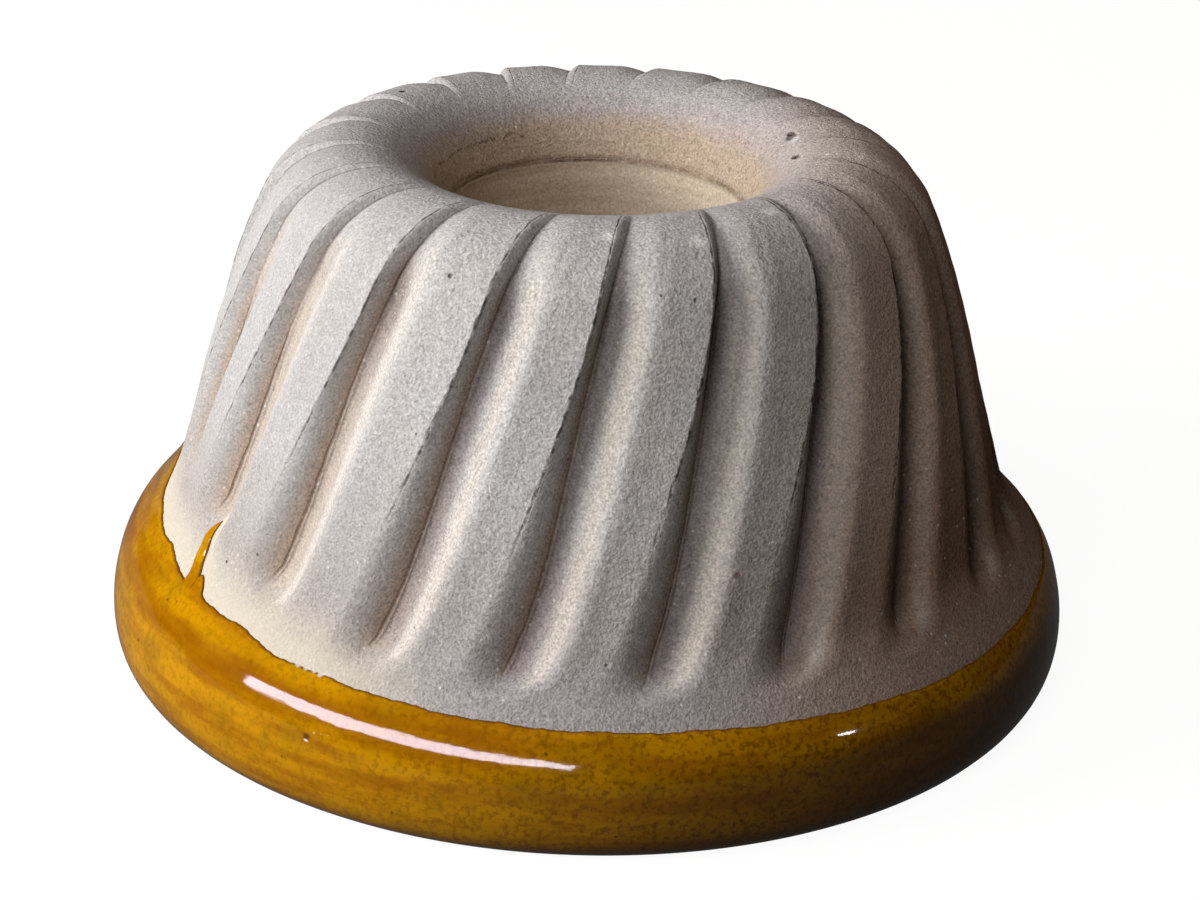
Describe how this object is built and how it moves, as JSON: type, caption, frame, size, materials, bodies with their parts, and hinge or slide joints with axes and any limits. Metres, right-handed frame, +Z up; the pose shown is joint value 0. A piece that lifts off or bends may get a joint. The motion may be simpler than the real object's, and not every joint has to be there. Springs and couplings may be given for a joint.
{
  "type": "ring cake mould",
  "caption": "Fired-clay ring cake mould with spiral flutes, a round crown, a central chimney and an amber glazed rim; it stands on the rim and bakes a fluted ring cake.",
  "frame": {"origin": "on the mould's axis, in the plane that the rim stands on", "axes": "+Z up along the axis, from the rim to the crown; the front seen in the picture is -Y"},
  "size_m": [0.22, 0.22, 0.1182],
  "materials": {
    "bare_clay": "matt, fine sandy grain, unglazed",
    "amber_glaze": "glossy transparent honey-amber glaze, mottled"
  },
  "bodies": {
    "root": {"fluted_shell": "bare_clay", "chimney_tube": "bare_clay", "luting_coil": "bare_clay", "rim_glaze": "amber_glaze", "cavity_glaze": "amber_glaze", "chimney_glaze": "amber_glaze"}
  },
  "joints": []
}
